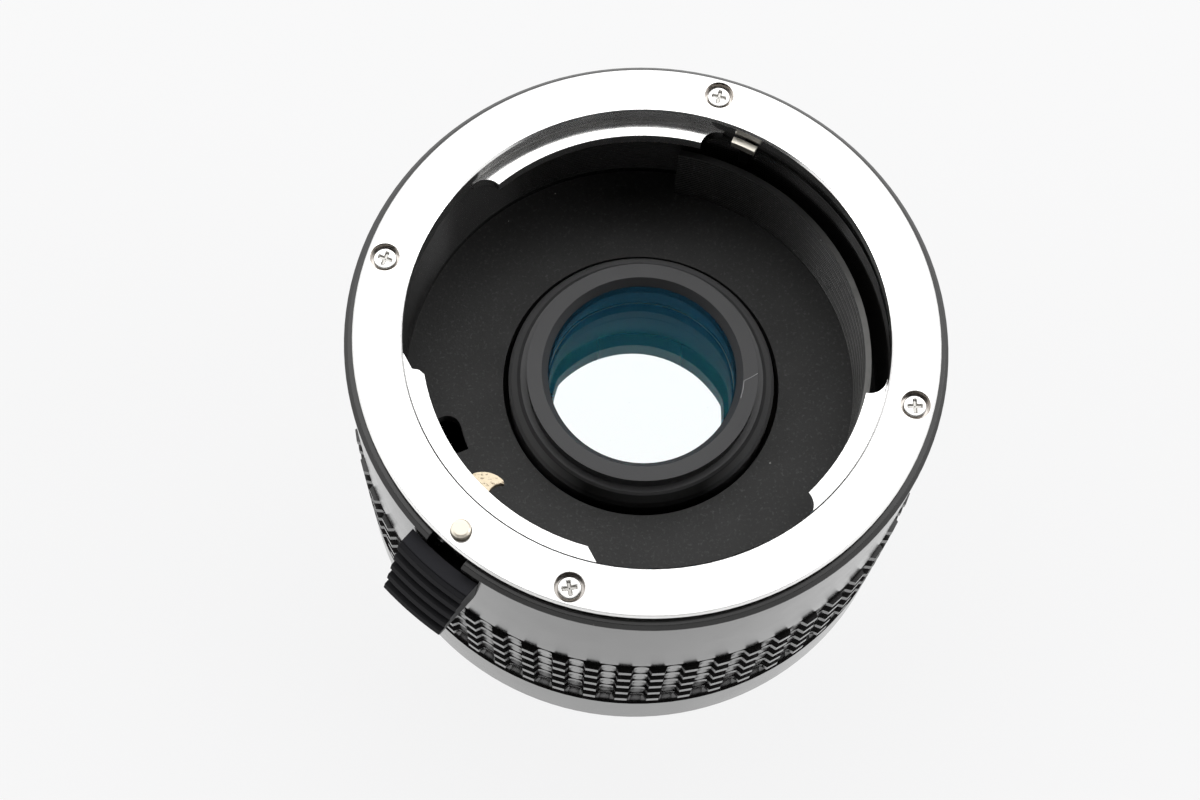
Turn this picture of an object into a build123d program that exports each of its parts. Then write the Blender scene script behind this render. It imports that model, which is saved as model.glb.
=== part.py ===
import os
from math import cos, hypot, radians, sin, sqrt

from build123d import *

os.makedirs("parts", exist_ok=True)

# The axis of the lens is Z, and the origin lies on it in the plane of the rear mounting face.
# Angles are degrees about Z, counted from +X towards +Y.

# Overall sizes
register = 41.0  # from the rear mounting face to the front mounting face
throat_r = 24.0  # inside radius of the front mount
ring_width = 4.85  # width of the chromed front face
lip_width = 0.9  # black lip round it
rear_step = 0.45  # how far the rear band stands out past the front band
front_band = 16.5  # from the front face down to the parting line
rear_band_top = 8.0
rear_band_bottom = 0.8

# Fits
seat_gap = 0.03  # between pieces that are fixed to each other
run_gap = 0.08  # between pieces that turn or slide on each other
free_gap = 0.3  # between pieces that pass each other freely
overrun = 1.0  # how far a cutter goes past the face it cuts
hidden_sides = 6  # flats of small round bars and holes out of sight
head_sides = 16  # flats of screw heads

# Front mount
ring_t = 2.0
ring_proud = 0.95  # height of its face above the lip
edge_bevel = 0.2
lug_reach = 1.8
lug_drop = 1.87  # from the front face down to the lugs
lug_t = 1.38
lug_end_r = 1.8  # radius left by the cutter at the hollow lug ends
skirt_t = 0.55
throat_depth = 1.4  # of the throat wall, from the front face down to its undercut
undercut = 0.3
hollow_lugs = ((69.9, 136.2), (309.0, 349.4))
slant_start_shares = ((0.0, 190.2), (0.24, 188.8), (0.62, 188.2), (1.0, 184.0))  # of the reach, and the angle
slant_end_shares = ((0.0, 254.3), (1.0, 258.2))
mount_screw_offset = 3.0  # from the throat out to the screws
mount_screw_angle = 73.3
mount_screw_count = 4
mount_screw_turns = (12.0, 70.0, 35.0, 55.0)
leaf_t = 0.3
leaf_inset = 0.15
leaf_setback = 7.5  # degrees from the end of a lug to the end of its leaf spring
rivet_r = 0.5
rivet_depth = 0.7

# Screws
head_r = 1.13
head_t = 0.6
head_sink = 0.35
counterbore_r = 1.47
shank_r = 0.75
shank_length = 4.0
cross_length = 1.45
cross_width = 0.36
cross_depth = 0.32
hidden_head_r = 1.2
hidden_head_t = 0.8
hidden_shank_r = 0.6

# Front casing and baffle
baffle_t = 1.6
baffle_edge = 1.05  # how far the baffle reaches under the casing
lip_bevel = 0.4
hook_slot = (194.2, 202.0)
hook_slot_width = 2.95
lever_slot = (199.0, 224.2)
hook_slot_offset = 1.7  # from the throat in to the slot
tab_slot = (14.0, 69.0)
tab_guard = (340.0, 440.0)
tab_guard_t = 0.6
tab_guard_drop = 5.6  # from the front face down to the guard wall of the tab

# Grip
sleeve_wall = 0.57
ridge_rise = 0.75
ridge_count = 5
ridge_pitch_share = 0.189  # of the length of the grip
ridge_share = 0.49  # of the pitch
column_count = 56
column_angle = 253.4
land_share = 0.36  # of a column, at the crest

# Release
lock_angle = 228.6
lock_travel = 2.0
pin_r = 0.95
pin_offset = 3.15  # from the throat out to the lock pin
pin_rise = 1.0
pin_collar_r = 1.15
notch_width = 4.3
notch_round = 0.9
pocket_width = 2.9
pocket_floor_t = 1.6
pocket_half_angle = 9.0
lock_clear_angle = 30.0  # to each side of the release, without screws between the casings
plate_half_angle = 7.8
plate_t = 1.2
plate_drop = 5.6  # from the front face to the top of the lock plate
button_half_angle = 8.2
button_top_width = 8.5
button_bottom_width = 6.9
button_round = 0.9
button_drop = 2.5
button_h = 7.0
button_top_depth = 1.5
button_depth = 5.0
button_foot_h = 1.0
button_rib_count = 5
button_rib_depth = 0.42
button_rib_shares = ((0.12, 0.0), (0.3, 1.0), (0.72, 1.0), (0.9, 0.0))  # along a rib, and of its depth
button_recess_depth = 1.7
button_screw_share = 0.22  # of the notch width, to each side
small_screw_r = 0.35
small_head_r = 0.62
small_head_t = 0.5
small_screw_length = 2.2
spring_in_r = 0.6
spring_out_r = 1.1

# Aperture coupling
coupling_width = 1.75
coupling_h = 2.2
ledge_width = 0.7
tab_t = 0.7
tab_wall_gap = 0.2
tab_tip = (60.7, 67.1)
tab_stem = (62.0, 64.6)
tab_tip_h = 0.9
tab_tip_drop = 1.5
rear_tab = (60.6, 65.4)
rear_tab_gap = 0.5
rear_tab_reach = 4.5
coupling_ear_angle = 100.0
coupling_post_angle = 129.0
coupling_travel = 45.0

# Diaphragm coupling
diaphragm_ring_width = 3.2
diaphragm_ring_h = 1.5
diaphragm_ring_drop = 3.0  # from the parting line down to the ring
lever_t = 0.7
lever_wall_gap = 0.2
hook_stem = (216.8, 223.2)
hook_drop = 6.0
hook_t = 0.8
hook_reach = 2.55
hook_back_share = 0.32
hook_bow_share = 0.82
hook_nose_share = 0.92
hook_hollow_shares = (0.6, 0.3)
hook_bow_angle = 219.4
hook_nose_angles = (223.7, 224.5)
hook_hollow_angle = 223.05
rear_lever = (226.0, 230.0)
rear_lever_offset = 4.7  # from the throat in to the lever
rear_lever_reach = 5.5
diaphragm_ear_angle = 254.0
diaphragm_post_angle = 290.0
diaphragm_travel = 18.0
ear_angle = 3.0
ear_root = 0.5  # how far ears and arms run into their ring
post_r = 0.7
return_spring_r = 0.5
clip_t = 0.5
clip_width = 1.4
clip_opening = 30.0

# Lens cell
cell_offset = 10.15  # from the throat in to the barrel
cell_gap = 0.57  # round the barrel, inside the baffle
barrel_wall = 3.42
barrel_slope_h = 1.2
barrel_slope_width = 1.25
barrel_knee_shares = (0.75, 0.35)  # of the width and the height of the slope
barrel_collar = 0.45
barrel_screw_count = 3
barrel_screw_angle = 30.0
barrel_flange_width = 3.75
barrel_flange_t = 1.2
barrel_rear_step = 0.85
cap_width = 1.9  # from the barrel in to the cap ring
cap_rim_width = 1.55
cap_h = 1.75
cap_spigot_h = 1.5
cap_spigot_t = 0.7
rim_drop = 11.1
glass_edge_drop = 0.95
glass_lip = 0.65
front_curve_r = 80.0
inner_curve_r = 46.0
stack_shares = (0.10, 0.12, 0.12, 0.16, 0.24, 0.26)
rear_glass_h = 4.3
barrel_bottom = 2.0
rear_opening_lip = 1.1
spacer_lip_share = 0.75  # of that lip

# Rear casing, rear mount and guard
bulkhead_bottom = 9.0
bulkhead_t = 2.0
ring_seat_h = 1.6
rear_ring_width = 5.25
rear_screw_shift = 25.0  # degrees between the front and the rear screws
rear_neck_offset = 1.95
rear_neck_t = 1.15
rear_neck_length = 5.0
rear_plug_length = 1.6
rear_lug_t = 1.4
rear_lugs = ((75.5, 130.5), (197.0, 253.0), (314.0, 344.0))
guard_offset = 5.2  # from the throat in to the guard wall
guard_wall = 1.2
guard_depth = 6.5
guard_plate_t = 1.0
guard_plate_bottom = 1.0
guard_wall_start = 240.0
guard_wall_angle = 310.0
guard_screw_inset = 2.0
guard_screw_count = 3
guard_screw_angle = 90.0
boss_r = 1.6

# Alignment bead
bead_angle = 138.6
bead_r = 0.9
bead_drop = 5.2
bead_depth = 0.6

# Radii that follow from these
skirt_r = throat_r + skirt_t
bore_r = skirt_r + seat_gap
ring_r = throat_r + ring_width
band_r = ring_r + lip_width
rear_r = band_r + rear_step
mount_screw_r = throat_r + mount_screw_offset
pin_circle_r = throat_r + pin_offset
lug_r = throat_r - lug_reach
undercut_r = throat_r + undercut
lug_root_r = (undercut_r + skirt_r) / 2
leaf_outer_r = throat_r - leaf_inset
leaf_inner_r = lug_r + leaf_inset
leaf_mid_r = (leaf_outer_r + leaf_inner_r) / 2
sleeve_r = ring_r + seat_gap
grip_floor_r = sleeve_r + seat_gap + sleeve_wall
ridge_r = grip_floor_r + ridge_rise
pocket_inner_r = pin_circle_r - pocket_width / 2
pocket_outer_r = pin_circle_r + pocket_width / 2
button_inner_r = band_r + run_gap
baffle_r = bore_r + baffle_edge
ledge_r = bore_r - ledge_width
tab_outer_r = throat_r - tab_wall_gap
tab_inner_r = tab_outer_r - tab_t
tab_guard_outer_r = tab_inner_r - free_gap
tab_guard_r = tab_guard_outer_r - tab_guard_t
coupling_outer_r = bore_r - run_gap
coupling_inner_r = coupling_outer_r - coupling_width
coupling_spring_r = coupling_inner_r - post_r - free_gap
hook_slot_outer_r = throat_r - hook_slot_offset
hook_slot_inner_r = hook_slot_outer_r - hook_slot_width
hook_outer_r = hook_slot_outer_r - lever_wall_gap
lever_slot_inner_r = hook_outer_r - lever_t - free_gap
rear_lever_outer_r = throat_r - rear_lever_offset
rear_lever_r = rear_lever_outer_r - lever_t
plug_r = throat_r - 2 * seat_gap
rear_neck_r = throat_r - rear_neck_offset
rear_neck_in_r = rear_neck_r - rear_neck_t
rear_ring_r = throat_r + rear_ring_width
rear_screw_r = (rear_ring_r + plug_r) / 2
rear_tab_outer_r = rear_neck_in_r - rear_tab_gap
rear_tab_r = rear_tab_outer_r - tab_t
guard_outer_r = throat_r - guard_offset
guard_r = guard_outer_r - guard_wall
guard_screw_r = guard_r - guard_screw_inset
barrel_r = throat_r - cell_offset
barrel_flange_r = barrel_r + barrel_flange_width
barrel_rear_r = barrel_r - barrel_rear_step
barrel_screw_r = barrel_r + (barrel_flange_width + barrel_collar) / 2
baffle_hole_r = barrel_r + cell_gap
diaphragm_inner_r = barrel_r + run_gap
diaphragm_outer_r = diaphragm_inner_r + diaphragm_ring_width
diaphragm_spring_r = barrel_flange_r + post_r + free_gap
cap_r = barrel_r - cap_width
glass_r = barrel_r - barrel_wall - seat_gap
glass_hole_r = glass_r - glass_lip
spacer_r = glass_r - rear_opening_lip * spacer_lip_share

# Heights that follow from these
parting = register - front_band
grip_length = parting - rear_band_top
ridge_pitch = grip_length * ridge_pitch_share
ridge_h = ridge_pitch * ridge_share
lip_top = register - ring_proud
ring_seat = register - ring_t
lug_top = register - lug_drop
lug_bottom = lug_top - lug_t
leaf_bottom = lug_bottom - leaf_t
baffle_top = parting + baffle_t
tab_guard_top = register - tab_guard_drop
pocket_floor = baffle_top + pocket_floor_t
plate_top = register - plate_drop
plate_bottom = plate_top - plate_t
button_top = register - button_drop
button_bottom = button_top - button_h
notch_bottom = button_bottom - lock_travel + plate_t
rim_top = register - rim_drop
cap_bottom = rim_top - cap_h
barrel_top = cap_bottom - seat_gap
glass_top = rim_top - glass_edge_drop
bulkhead_top = bulkhead_bottom + bulkhead_t
coupling_top = parting - run_gap
coupling_bottom = coupling_top - coupling_h
diaphragm_ring_top = parting - diaphragm_ring_drop
diaphragm_ring_bottom = diaphragm_ring_top - diaphragm_ring_h
clip_bottom = diaphragm_ring_top + run_gap
hook_top = register - hook_drop
housing_screw_seat = ring_seat - hidden_head_t - seat_gap


def at(r, angle, z=0.0):
    """Point at a radius, an angle and a height."""
    return (r * cos(radians(angle)), r * sin(radians(angle)), z)


def turned(*points):
    """Solid turned about the axis from an outline of radius and height."""
    outline = make_face(Polyline(*points, close=True))
    return revolve(Plane.XZ * outline, Axis.Z)


def tube(r_in, r_out, z0, z1):
    """Plain ring."""
    return turned((r_in, z0), (r_out, z0), (r_out, z1), (r_in, z1))


def arc_bar(points, start, end):
    """Outline of radius and height swept about the axis between two angles."""
    outline = make_face(Polyline(*points, close=True))
    return revolve(Rot(0, 0, start) * (Plane.XZ * outline), Axis.Z, end - start)


def sector(r_in, r_out, z0, z1, start, end):
    """Curved bar of rectangular section."""
    return arc_bar(((r_in, z0), (r_out, z0), (r_out, z1), (r_in, z1)), start, end)


def rod(r, z0, z1, circle_r=0.0, angle=0.0):
    """Round bar parallel to the axis."""
    return Pos(*at(circle_r, angle, (z0 + z1) / 2)) * Cylinder(r, z1 - z0)


def hidden_rod(r, z0, z1, circle_r=0.0, angle=0.0, sides=hidden_sides):
    """Small bar or hole with flats in place of its round face."""
    place = Pos(*at(circle_r, angle, z0)) * Rot(0, 0, angle)
    return place * extrude(RegularPolygon(r, sides), z1 - z0)


def arc_slot(r_in, r_out, z0, z1, start, end):
    """Cutter for a slot along an arc, with round ends."""
    mid = (r_in + r_out) / 2
    half = (r_out - r_in) / 2
    ends = [rod(half, z0, z1, mid, angle) for angle in (start, end)]
    return sector(r_in, r_out, z0, z1, start, end) + ends


def evenly(count, start):
    """Angles of a round pattern."""
    return [start + 360.0 * i / count for i in range(count)]


def span(angle):
    """Angles of the two sides of an ear."""
    return (angle - ear_angle / 2, angle + ear_angle / 2)


def save(name, *solids):
    """Write the pieces of one node."""
    shapes = [s.solid() if isinstance(s, (Part, Compound)) else s for s in solids]
    export_step(shapes[0] if len(shapes) == 1 else Compound(shapes), f"parts/{name}.step")


front_lugs = (hollow_lugs[0], (slant_start_shares[-1][1], slant_end_shares[-1][1]), hollow_lugs[1])
mount_screw_angles = evenly(mount_screw_count, mount_screw_angle)
rear_screw_angles = evenly(mount_screw_count, mount_screw_angle - rear_screw_shift)
between_screws = evenly(mount_screw_count, mount_screw_angle - 180.0 / mount_screw_count)
housing_screw_angles = [angle for angle in between_screws if abs(angle - lock_angle) > lock_clear_angle]
barrel_screw_angles = evenly(barrel_screw_count, barrel_screw_angle)
guard_screw_angles = evenly(guard_screw_count, guard_screw_angle)


# Screws
def cross_cut(top):
    """Cutter for the cross recess."""
    height = cross_depth + overrun
    bar = Box(cross_length, cross_width, height) + Box(cross_width, cross_length, height)
    return Pos(0, 0, top - cross_depth + height / 2) * bar


def mount_screw(top, circle_r, angle):
    """Mount screw that points down."""
    head = hidden_rod(head_r, top - head_t, top, circle_r, angle, head_sides)
    return head + hidden_rod(shank_r, top - head_t - shank_length, top - head_t, circle_r, angle)


def plain_screw(seat, circle_r, angle, length, up=1):
    """Screw out of sight, with its head on the seat and its shank away from it."""
    head_end = seat + up * hidden_head_t
    tip = seat - up * length
    head = hidden_rod(hidden_head_r, min(seat, head_end), max(seat, head_end), circle_r, angle)
    return head + hidden_rod(hidden_shank_r, min(seat, tip), max(seat, tip), circle_r, angle)


# Front mount
def hollow_lug(start, end):
    """Lug whose ends are left hollow by a round cutter."""
    lug = sector(lug_r, lug_root_r, lug_bottom, lug_top, start, end)
    for angle in (start, end):
        lug -= rod(lug_end_r, lug_bottom - overrun, lug_top + overrun, throat_r - lug_end_r, angle)
    return lug


def slant_lug():
    """Lug with slanted ends, stepped at its start."""
    starts = [at(lug_r + share * lug_reach, angle) for share, angle in slant_start_shares]
    ends = [at(lug_r + share * lug_reach, angle) for share, angle in slant_end_shares]
    root_start = at(lug_root_r, slant_start_shares[-1][1])
    root_end = at(lug_root_r, slant_end_shares[-1][1])
    middle = (slant_start_shares[0][1] + slant_end_shares[0][1]) / 2
    outline = Polyline(*starts, root_start)
    outline += ThreePointArc(root_start, at(lug_root_r, middle), root_end)
    outline += Polyline(root_end, *reversed(ends))
    outline += ThreePointArc(ends[0], at(lug_r, middle), starts[0])
    return extrude(Pos(0, 0, lug_bottom) * make_face(outline), lug_t, dir=(0, 0, 1))


def front_bayonet():
    ring = turned(
        (undercut_r, lug_bottom),
        (undercut_r, register - throat_depth),
        (throat_r, register - throat_depth),
        (throat_r, register - edge_bevel),
        (throat_r + edge_bevel, register),
        (ring_r - edge_bevel, register),
        (ring_r, register - edge_bevel),
        (ring_r, ring_seat),
        (skirt_r, ring_seat),
        (skirt_r, lug_bottom),
    )
    ring += slant_lug()
    for start, end in hollow_lugs:
        ring += hollow_lug(start, end)
    for start, end in front_lugs:
        hole = (rivet_r + seat_gap, lug_bottom - overrun, lug_bottom + rivet_depth)
        ring -= hidden_rod(*hole, leaf_mid_r, (start + end) / 2)
    for angle in mount_screw_angles:
        ring -= rod(counterbore_r, register - head_sink - head_t, register + overrun, mount_screw_r, angle)
        ring -= hidden_rod(shank_r + seat_gap, ring_seat - overrun, register, mount_screw_r, angle)
    return ring - rod(pin_r + run_gap, ring_seat - overrun, register + overrun, pin_circle_r, lock_angle)


def front_mount_screws():
    """Screws with a cross recess, each turned its own way."""
    top = register - head_sink
    screws = []
    for angle, turn in zip(mount_screw_angles, mount_screw_turns):
        recess = Pos(*at(mount_screw_r, angle)) * Rot(0, 0, turn) * cross_cut(top)
        screws.append(mount_screw(top, mount_screw_r, angle) - recess)
    return screws


def leaf_spring(start, end):
    """Spring strip under a lug."""
    ends = (start + leaf_setback, end - leaf_setback)
    strip = sector(leaf_inner_r, leaf_outer_r, leaf_bottom, lug_bottom, *ends)
    hole = (rivet_r + seat_gap, leaf_bottom - overrun, lug_bottom + overrun)
    return strip - hidden_rod(*hole, leaf_mid_r, (start + end) / 2)


def spring_rivet(start, end):
    top = lug_bottom + rivet_depth - seat_gap
    return hidden_rod(rivet_r, leaf_bottom, top, leaf_mid_r, (start + end) / 2)


# Front casing
def notch_cut():
    """Cutter for the opening that the release passes through."""
    height = lip_top + overrun + notch_round - notch_bottom
    outline = Pos(0, notch_bottom + height / 2) * RectangleRounded(notch_width, height, notch_round)
    inner = pin_circle_r + run_gap
    return Rot(0, 0, lock_angle) * Pos(inner, 0, 0) * extrude(Plane.YZ * outline, band_r + overrun - inner)


def bead_place(r):
    """Place on the band with its Z pointing outwards."""
    return Rot(0, 0, bead_angle) * Pos(r, 0, lip_top - bead_drop) * Rot(0, 90, 0)


def front_housing():
    body = turned(
        (bore_r, baffle_top),
        (bore_r, ring_seat),
        (ring_r + seat_gap, ring_seat),
        (ring_r + seat_gap, lip_top),
        (band_r - lip_bevel, lip_top),
        (band_r, lip_top - lip_bevel),
        (band_r, parting),
        (baffle_r + seat_gap, parting),
        (baffle_r + seat_gap, baffle_top),
    )
    sides = (lock_angle - pocket_half_angle, lock_angle + pocket_half_angle)
    body -= sector(pocket_inner_r, pocket_outer_r, pocket_floor, ring_seat + overrun, *sides)
    body -= notch_cut()
    for angle in mount_screw_angles:
        hole = (shank_r + seat_gap, ring_seat - shank_length, ring_seat + overrun)
        body -= hidden_rod(*hole, mount_screw_r, angle)
    for angle in housing_screw_angles:
        head = (hidden_head_r + seat_gap, housing_screw_seat, ring_seat + overrun)
        body -= hidden_rod(*head, mount_screw_r, angle)
        body -= hidden_rod(hidden_shank_r + seat_gap, parting - overrun, ring_seat, mount_screw_r, angle)
    bed = hidden_rod(bead_r + seat_gap, 0.0, bead_depth + overrun, sides=head_sides)
    return body - bead_place(band_r - bead_depth) * bed


def index_bead():
    """Coloured bead in its bed."""
    bead = hidden_rod(bead_r, seat_gap, bead_depth + edge_bevel / 2, sides=head_sides)
    return bead_place(band_r - bead_depth) * bead


def housing_screws():
    length = housing_screw_seat - parting + shank_length - seat_gap
    return [plain_screw(housing_screw_seat, mount_screw_r, angle, length) for angle in housing_screw_angles]


# Grip
def flute_bottoms():
    """Corners of the floor between the ridges, one in the middle of each flute."""
    half_pitch = 180.0 / column_count
    return [at(grip_floor_r, angle + half_pitch)[:2] for angle in evenly(column_count, column_angle)]


def ridge_corners():
    """Corners of a ridge: two for each land, and one at the bottom of each flute."""
    half_land = 180.0 / column_count * land_share
    corners = []
    for angle, bottom in zip(evenly(column_count, column_angle), flute_bottoms()):
        corners.append(at(ridge_r, angle - half_land)[:2])
        corners.append(at(ridge_r, angle + half_land)[:2])
        corners.append(bottom)
    return corners


def grip_ring():
    floor = make_face(Polyline(*flute_bottoms(), close=True))
    sleeve = extrude(Pos(0, 0, rear_band_top) * floor, grip_length)
    ridge = make_face(Polyline(*ridge_corners(), close=True))
    middle = (rear_band_top + parting) / 2
    for i in range(ridge_count):
        centre = middle + (i - (ridge_count - 1) / 2) * ridge_pitch
        sleeve += extrude(Pos(0, 0, centre - ridge_h / 2) * ridge, ridge_h)
    return sleeve - rod(sleeve_r + seat_gap, rear_band_top - overrun, parting + overrun)


# Release
def button_outline():
    """Side view of the button, from the band outwards, with the ribs on its slope."""
    start = (button_inner_r + button_top_depth, button_top)
    end = (button_inner_r + button_depth, button_bottom + button_foot_h)
    run = (end[0] - start[0], end[1] - start[1])
    length = hypot(*run)
    outward = (-run[1] / length * button_rib_depth, run[0] / length * button_rib_depth)
    outline = [(button_inner_r, button_bottom), (button_inner_r, button_top), start]
    for i in range(button_rib_count):
        for along, rise in button_rib_shares:
            share = (i + along) / button_rib_count
            r = start[0] + share * run[0] + rise * outward[0]
            z = start[1] + share * run[1] + rise * outward[1]
            outline.append((r, z))
    return outline + [end, (end[0] - button_rib_depth, button_bottom)]


def screw_place(z, side):
    """Place of a small screw in the button."""
    place = Pos(button_inner_r + button_recess_depth / 2, side * notch_width * button_screw_share, z)
    return Rot(0, 0, lock_angle) * place


tongue_width = notch_width - 2 * free_gap


def button_taper():
    """Block that the button is kept within: narrower and rounded at the bottom."""
    top, bottom = button_top + overrun, button_bottom
    corners = [(side * button_top_width / 2, top) for side in (-1, 1)]
    corners += [(side * button_bottom_width / 2, bottom) for side in (1, -1)]
    outline = make_face(Polyline(*corners, close=True))
    outline = fillet(outline.vertices().group_by(Axis.Y)[0], button_round)
    reach = button_depth + button_rib_depth + 2 * overrun
    return Rot(0, 0, lock_angle) * Pos(button_inner_r - overrun, 0, 0) * extrude(Plane.YZ * outline, reach)


def release_button():
    sides = (lock_angle - button_half_angle, lock_angle + button_half_angle)
    body = arc_bar(button_outline(), *sides) & button_taper()
    height = plate_top - button_bottom + overrun
    recess = Box(2 * button_recess_depth, tongue_width + 2 * seat_gap, height)
    body -= Rot(0, 0, lock_angle) * Pos(button_inner_r, 0, plate_top - height / 2) * recess
    depth = small_screw_length - plate_t + seat_gap
    for side in (-1, 1):
        body -= screw_place(plate_top, side) * hidden_rod(small_screw_r + seat_gap, -overrun, depth)
    return body


def lock_plate():
    """Plate in the pocket, with a tongue out into the button."""
    sides = (lock_angle - plate_half_angle, lock_angle + plate_half_angle)
    plate = sector(pocket_inner_r + run_gap, pocket_outer_r - run_gap, plate_bottom, plate_top, *sides)
    reach = button_inner_r + button_recess_depth - seat_gap - pin_circle_r
    tongue = Box(reach, tongue_width, plate_t)
    plate += Rot(0, 0, lock_angle) * Pos(pin_circle_r + reach / 2, 0, (plate_bottom + plate_top) / 2) * tongue
    plate -= rod(pin_r + seat_gap, plate_bottom - overrun, plate_top + overrun, pin_circle_r, lock_angle)
    hole = hidden_rod(small_screw_r + seat_gap, -overrun, plate_t + overrun)
    for side in (-1, 1):
        plate -= screw_place(plate_bottom, side) * hole
    return plate


def lock_pin():
    """Pin with the collar that stops it under the mount ring."""
    pin = rod(pin_r, plate_bottom, register + pin_rise - edge_bevel)
    pin += Pos(0, 0, register + pin_rise - edge_bevel / 2) * Cone(pin_r, pin_r - edge_bevel, edge_bevel)
    pin += hidden_rod(pin_collar_r, plate_top + seat_gap, ring_seat - run_gap)
    return Pos(*at(pin_circle_r, lock_angle)) * pin


def button_screw(side):
    screw = hidden_rod(small_screw_r, 0.0, small_screw_length) + hidden_rod(small_head_r, -small_head_t, 0.0)
    return screw_place(plate_bottom, side) * screw


def lock_spring():
    """Coil spring out of sight under the plate, as a plain sleeve."""
    heights = (pocket_floor, plate_bottom)
    coil = hidden_rod(spring_out_r, *heights) - hidden_rod(spring_in_r, *heights)
    return Pos(*at(pin_circle_r, lock_angle)) * coil


# Baffle
def baffle_plate():
    """Plate with the slots of the levers, and the arc wall that guards the coupling tab."""
    plate = tube(baffle_hole_r, baffle_r, parting, baffle_top)
    plate += sector(tab_guard_r, tab_guard_outer_r, parting, tab_guard_top, *tab_guard)
    heights = (parting - overrun, baffle_top + overrun)
    slot_half = (hook_slot_outer_r - hook_slot_inner_r) / 2
    plate -= rod(slot_half, *heights, hook_slot_inner_r + slot_half, hook_slot[0])
    plate -= sector(hook_slot_inner_r, hook_slot_outer_r, *heights, *hook_slot)
    plate -= arc_slot(lever_slot_inner_r, hook_slot_outer_r, *heights, *lever_slot)
    return plate - arc_slot(tab_guard_outer_r, tab_outer_r + free_gap, *heights, *tab_slot)


# Aperture coupling
def coupling_ring():
    ring = tube(coupling_inner_r, coupling_outer_r, coupling_bottom, coupling_top)
    tip_top = register - tab_tip_drop
    ring += sector(tab_inner_r, tab_outer_r, coupling_bottom, tip_top, *tab_stem)
    ring += sector(tab_inner_r, tab_outer_r, tip_top - tab_tip_h, tip_top, *tab_tip)
    step = bulkhead_top + free_gap
    wall_r = coupling_inner_r + tab_t
    ring += sector(coupling_inner_r, wall_r, step, coupling_top, *rear_tab)
    ring += sector(rear_tab_r, wall_r, step, step + tab_t, *rear_tab)
    ring += sector(rear_tab_r, rear_tab_outer_r, -rear_tab_reach, step + tab_t, *rear_tab)
    ear = (coupling_spring_r - post_r, coupling_inner_r + ear_root, coupling_bottom, coupling_top)
    return ring + sector(*ear, *span(coupling_ear_angle))


def return_spring(circle_r, z, ear, post):
    """Plain spring, straight from the ear of a ring to its post."""
    start = Vector(*at(circle_r, ear + ear_angle, z))
    end = Vector(*at(circle_r, post, z))
    along = (end - start).normalized()
    length = (end - start).length - post_r - seat_gap
    return Plane(origin=start, z_dir=along) * extrude(RegularPolygon(return_spring_r, hidden_sides), length)


def coupling_spring():
    middle = (coupling_bottom + coupling_top) / 2
    return return_spring(coupling_spring_r, middle, coupling_ear_angle, coupling_post_angle)


# Diaphragm coupling
def hook_finger():
    """Flat finger at the top of the lever, hollow on its working side."""
    first, last = hook_stem
    back = at(hook_outer_r - hook_reach * hook_back_share, first)
    bow = at(hook_outer_r - hook_reach * hook_bow_share, hook_bow_angle)
    nose = at(hook_outer_r - hook_reach, hook_nose_angles[0])
    beak = at(hook_outer_r - hook_reach * hook_nose_share, hook_nose_angles[1])
    hollow = at(hook_outer_r - hook_reach * hook_hollow_shares[0], hook_hollow_angle)
    root = at(hook_outer_r - hook_reach * hook_hollow_shares[1], last)
    lines = [
        Line(at(hook_outer_r, first), back),
        ThreePointArc(back, bow, nose),
        Line(nose, beak),
        ThreePointArc(beak, hollow, root),
        Line(root, at(hook_outer_r, last)),
        Line(at(hook_outer_r, last), at(hook_outer_r, first)),
    ]
    return extrude(Pos(0, 0, hook_top - hook_t) * make_face(lines), hook_t)


def diaphragm_ring():
    heights = (diaphragm_ring_bottom, diaphragm_ring_top)
    root_r = diaphragm_outer_r - ear_root
    ring = tube(diaphragm_inner_r, diaphragm_outer_r, *heights)
    ring += sector(root_r, hook_outer_r, *heights, *hook_stem)
    ring += sector(hook_outer_r - lever_t, hook_outer_r, diaphragm_ring_bottom, hook_top, *hook_stem)
    ring += hook_finger()
    ring += sector(root_r, rear_lever_outer_r, *heights, *rear_lever)
    ring += sector(rear_lever_r, rear_lever_outer_r, -rear_lever_reach, diaphragm_ring_top, *rear_lever)
    return ring + sector(root_r, diaphragm_spring_r + post_r, *heights, *span(diaphragm_ear_angle))


def diaphragm_spring():
    middle = (diaphragm_ring_bottom + diaphragm_ring_top) / 2
    return return_spring(diaphragm_spring_r, middle, diaphragm_ear_angle, diaphragm_post_angle)


def diaphragm_clip():
    """Open clip on the barrel that keeps the ring down."""
    inner = barrel_r + seat_gap
    sides = (clip_opening / 2, 360.0 - clip_opening / 2)
    return sector(inner, inner + clip_width, clip_bottom, clip_bottom + clip_t, *sides)


# Lens cell
def lens_barrel():
    slope_bottom = barrel_top - barrel_slope_h
    knee_r = barrel_r - barrel_slope_width * (1 - barrel_knee_shares[0])
    knee = slope_bottom + barrel_slope_h * barrel_knee_shares[1]
    spigot_r = glass_r + cap_spigot_t + 2 * seat_gap
    flange_top = bulkhead_top + barrel_flange_t
    barrel = turned(
        (glass_r + seat_gap, barrel_bottom),
        (barrel_rear_r, barrel_bottom),
        (barrel_rear_r, bulkhead_top),
        (barrel_flange_r, bulkhead_top),
        (barrel_flange_r, flange_top),
        (barrel_r + barrel_collar, flange_top),
        (barrel_r + barrel_collar, diaphragm_ring_bottom - run_gap),
        (barrel_r, diaphragm_ring_bottom - run_gap),
        (barrel_r, slope_bottom),
        (knee_r, knee),
        (barrel_r - barrel_slope_width, barrel_top),
        (spigot_r, barrel_top),
        (spigot_r, barrel_top - cap_spigot_h),
        (glass_r + seat_gap, barrel_top - cap_spigot_h),
    )
    for angle in barrel_screw_angles:
        hole = (hidden_shank_r + seat_gap, bulkhead_top - overrun, flange_top + overrun)
        barrel -= hidden_rod(*hole, barrel_screw_r, angle)
    return barrel


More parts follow.
